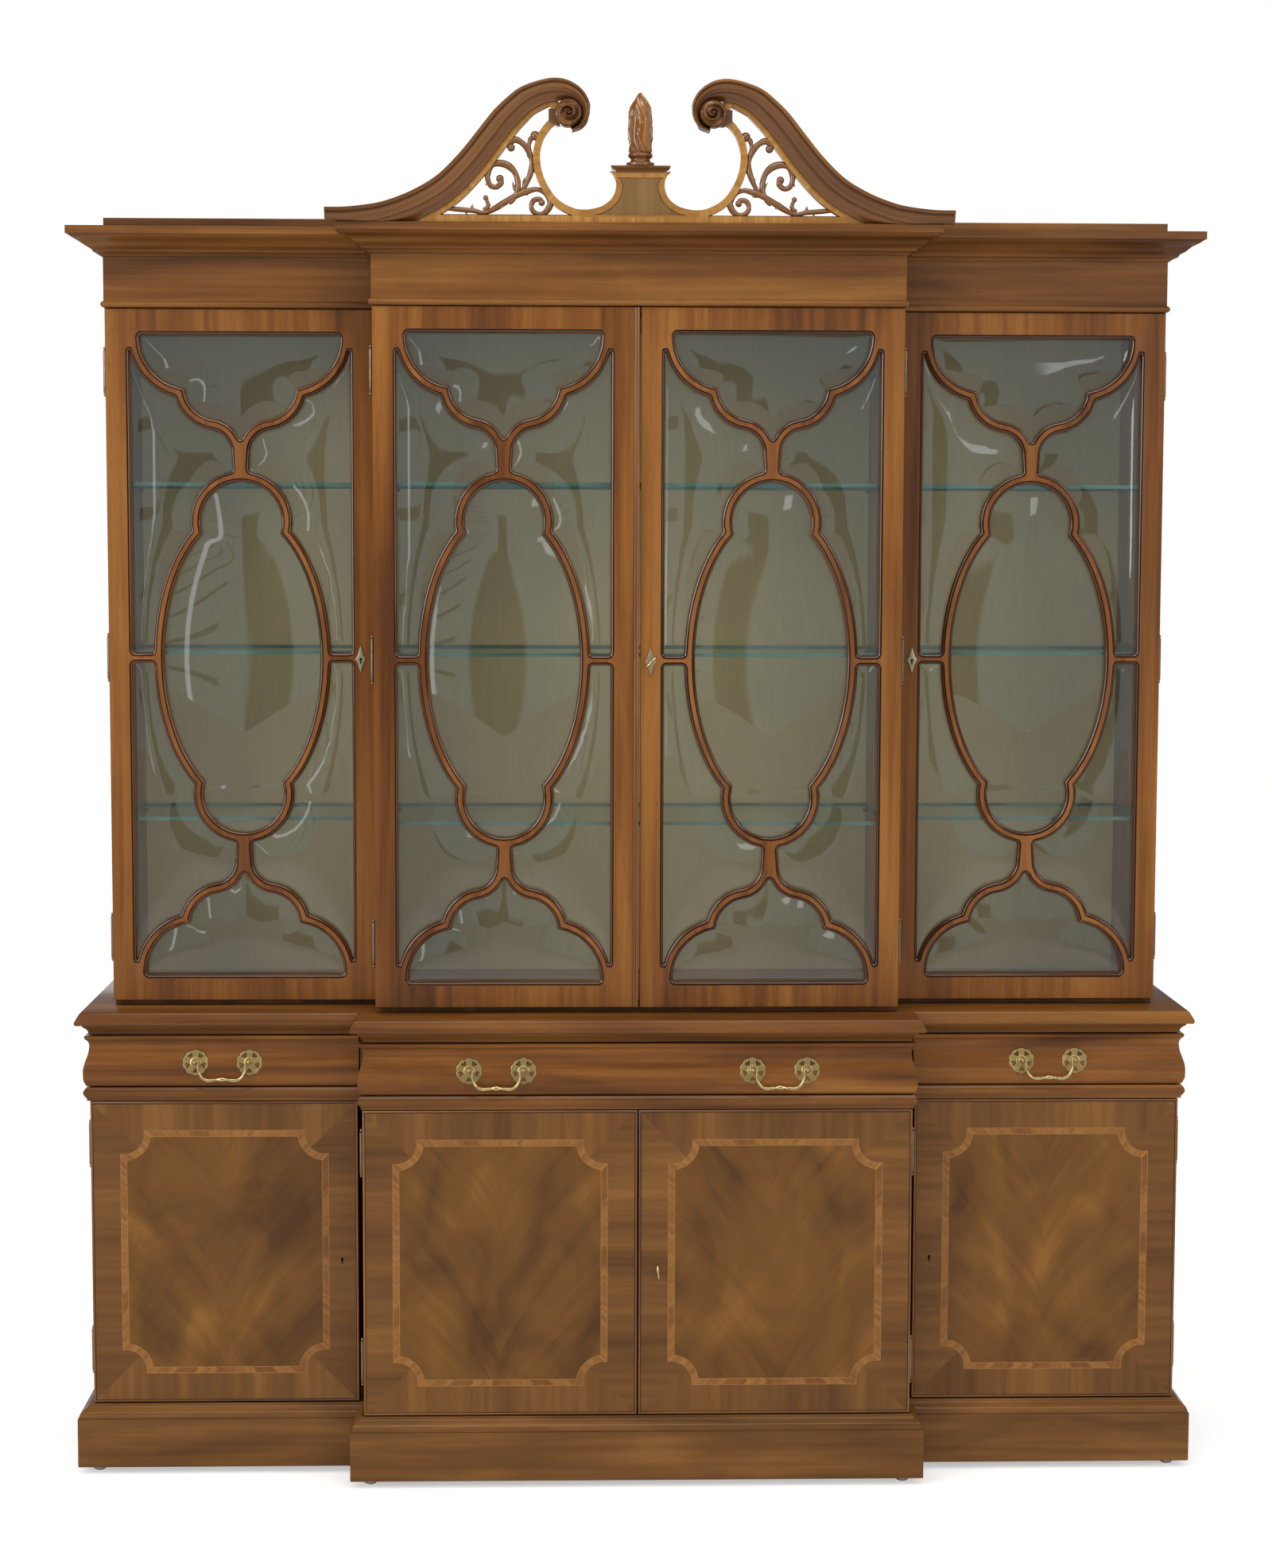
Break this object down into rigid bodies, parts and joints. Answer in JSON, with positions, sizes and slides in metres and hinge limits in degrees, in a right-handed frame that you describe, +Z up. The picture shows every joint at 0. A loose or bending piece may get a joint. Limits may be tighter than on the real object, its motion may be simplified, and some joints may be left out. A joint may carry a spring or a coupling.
{
  "type": "breakfront bookcase",
  "caption": "Glazed breakfront bookcase on a cupboard and drawer base, with tracery doors, glass shelves, moulded cornice and swan-neck pediment with a flame finial.",
  "frame": {"origin": "on the floor under the middle of the whole bookcase's box", "axes": "+Z up; the doors face -Y; +X runs along the width, to the right as seen from the front"},
  "size_m": [1.86, 0.4488, 2.2818],
  "materials": {
    "mahogany": "warm brown gloss lacquer",
    "mahogany_dark": "darker brown gloss lacquer",
    "crossbanding": "light banded veneer, lacquered",
    "crotch_veneer": "flame figured veneer, lacquered",
    "back_lining": "khaki painted panel",
    "brass": "polished",
    "glass": "clear, swelled panes",
    "glide_metal": "nickel plated glide"
  },
  "bodies": {
    "case": {"plinth": "mahogany", "base_carcass": "mahogany", "mid_moulding": "mahogany", "base_top": "mahogany", "upper_carcass": "mahogany", "upper_back": "back_lining", "cornice": "mahogany", "pediment_board": "crossbanding", "swan_neck_left": "mahogany_dark", "swan_neck_right": "mahogany_dark", "fretwork_left": "mahogany_dark", "fretwork_right": "mahogany_dark", "finial": "mahogany_dark", "foot_wing_front_left": "glide_metal", "foot_wing_front_right": "glide_metal", "foot_centre_front_left": "glide_metal", "foot_centre_front_right": "glide_metal", "foot_back_left": "glide_metal", "foot_back_right": "glide_metal", "shelf_left_1": "glass", "shelf_left_2": "glass", "shelf_left_3": "glass", "shelf_centre_1": "glass", "shelf_centre_2": "glass", "shelf_centre_3": "glass", "shelf_right_1": "glass", "shelf_right_2": "glass", "shelf_right_3": "glass"},
    "upper_door_wing_left": {"glazed_door_wing_left": "mahogany", "glass_wing_left": "glass", "escutcheon_wing_left": "brass"},
    "upper_door_centre_left": {"glazed_door_centre_left": "mahogany", "glass_centre_left": "glass"},
    "upper_door_centre_right": {"glazed_door_centre_right": "mahogany", "glass_centre_right": "glass", "escutcheon_centre_right": "brass"},
    "upper_door_wing_right": {"glazed_door_wing_right": "mahogany", "glass_wing_right": "glass", "escutcheon_wing_right": "brass"},
    "lower_door_wing_left": {"cupboard_door_wing_left": "crotch_veneer"},
    "lower_door_centre_left": {"cupboard_door_centre_left": "crotch_veneer"},
    "lower_door_centre_right": {"cupboard_door_centre_right": "crotch_veneer"},
    "lower_door_wing_right": {"cupboard_door_wing_right": "crotch_veneer"},
    "drawer_left": {"drawer_wing_left": "mahogany", "rosette_wing_left_a": "brass", "rosette_wing_left_b": "brass"},
    "drawer_middle": {"drawer_centre": "mahogany", "rosette_centre_left_a": "brass", "rosette_centre_left_b": "brass", "rosette_centre_right_a": "brass", "rosette_centre_right_b": "brass"},
    "drawer_right": {"drawer_wing_right": "mahogany", "rosette_wing_right_a": "brass", "rosette_wing_right_b": "brass"},
    "pull_wing_left": {"bail_wing_left": "brass"},
    "pull_centre_left": {"bail_centre_left": "brass"},
    "pull_centre_right": {"bail_centre_right": "brass"},
    "pull_wing_right": {"bail_wing_right": "brass"},
    "upper_key": {"key_glazed_door": "brass"},
    "lower_key": {"key_cupboard_door": "brass"}
  },
  "joints": [
    {"name": "upper_door_wing_left_hinge", "type": "hinge", "parent": "case", "child": "upper_door_wing_left", "pos_m": [-0.8765, -0.03861, 1.35765], "axis": [0, 0, -1], "range_deg": [0, 110]},
    {"name": "upper_door_centre_left_hinge", "type": "hinge", "parent": "case", "child": "upper_door_centre_left", "pos_m": [-0.4348, -0.11961, 1.35765], "axis": [0, 0, -1], "range_deg": [0, 110]},
    {"name": "upper_door_centre_right_hinge", "type": "hinge", "parent": "case", "child": "upper_door_centre_right", "pos_m": [0.4348, -0.11961, 1.35765], "axis": [0, 0, 1], "range_deg": [0, 110]},
    {"name": "upper_door_wing_right_hinge", "type": "hinge", "parent": "case", "child": "upper_door_wing_right", "pos_m": [0.8765, -0.03861, 1.35765], "axis": [0, 0, 1], "range_deg": [0, 110]},
    {"name": "lower_door_wing_left_hinge", "type": "hinge", "parent": "case", "child": "lower_door_wing_left", "pos_m": [-0.9083, -0.09681, 0.37175], "axis": [0, 0, -1], "range_deg": [0, 110]},
    {"name": "lower_door_centre_left_hinge", "type": "hinge", "parent": "case", "child": "lower_door_centre_left", "pos_m": [-0.4533, -0.17781, 0.37175], "axis": [0, 0, -1], "range_deg": [0, 110]},
    {"name": "lower_door_centre_right_hinge", "type": "hinge", "parent": "case", "child": "lower_door_centre_right", "pos_m": [0.4533, -0.17781, 0.37175], "axis": [0, 0, 1], "range_deg": [0, 110]},
    {"name": "lower_door_wing_right_hinge", "type": "hinge", "parent": "case", "child": "lower_door_wing_right", "pos_m": [0.9083, -0.09681, 0.37175], "axis": [0, 0, 1], "range_deg": [0, 110]},
    {"name": "drawer_left_slide", "type": "slide", "parent": "case", "child": "drawer_left", "axis": [0, -1, 0], "range_m": [0, 0.24]},
    {"name": "drawer_middle_slide", "type": "slide", "parent": "case", "child": "drawer_middle", "axis": [0, -1, 0], "range_m": [0, 0.3]},
    {"name": "drawer_right_slide", "type": "slide", "parent": "case", "child": "drawer_right", "axis": [0, -1, 0], "range_m": [0, 0.24]},
    {"name": "pull_wing_left_swing", "type": "hinge", "parent": "drawer_left", "child": "pull_wing_left", "pos_m": [-0.68551, -0.1364, 0.69476], "axis": [-1, 0, 0], "range_deg": [0, 120]},
    {"name": "pull_centre_left_swing", "type": "hinge", "parent": "drawer_middle", "child": "pull_centre_left", "pos_m": [-0.23148, -0.2174, 0.69476], "axis": [-1, 0, 0], "range_deg": [0, 120]},
    {"name": "pull_centre_right_swing", "type": "hinge", "parent": "drawer_middle", "child": "pull_centre_right", "pos_m": [0.23148, -0.2174, 0.69476], "axis": [-1, 0, 0], "range_deg": [0, 120]},
    {"name": "pull_wing_right_swing", "type": "hinge", "parent": "drawer_right", "child": "pull_wing_right", "pos_m": [0.68551, -0.1364, 0.69476], "axis": [-1, 0, 0], "range_deg": [0, 120]},
    {"name": "upper_key_turn", "type": "hinge", "parent": "upper_door_centre_right", "child": "upper_key", "pos_m": [0.02, -0.14011, 1.35593], "axis": [0, -1, 0], "range_deg": [0, 90]},
    {"name": "lower_key_turn", "type": "hinge", "parent": "lower_door_centre_right", "child": "lower_key", "pos_m": [0.0331, -0.20031, 0.35904], "axis": [0, -1, 0], "range_deg": [0, 90]}
  ]
}
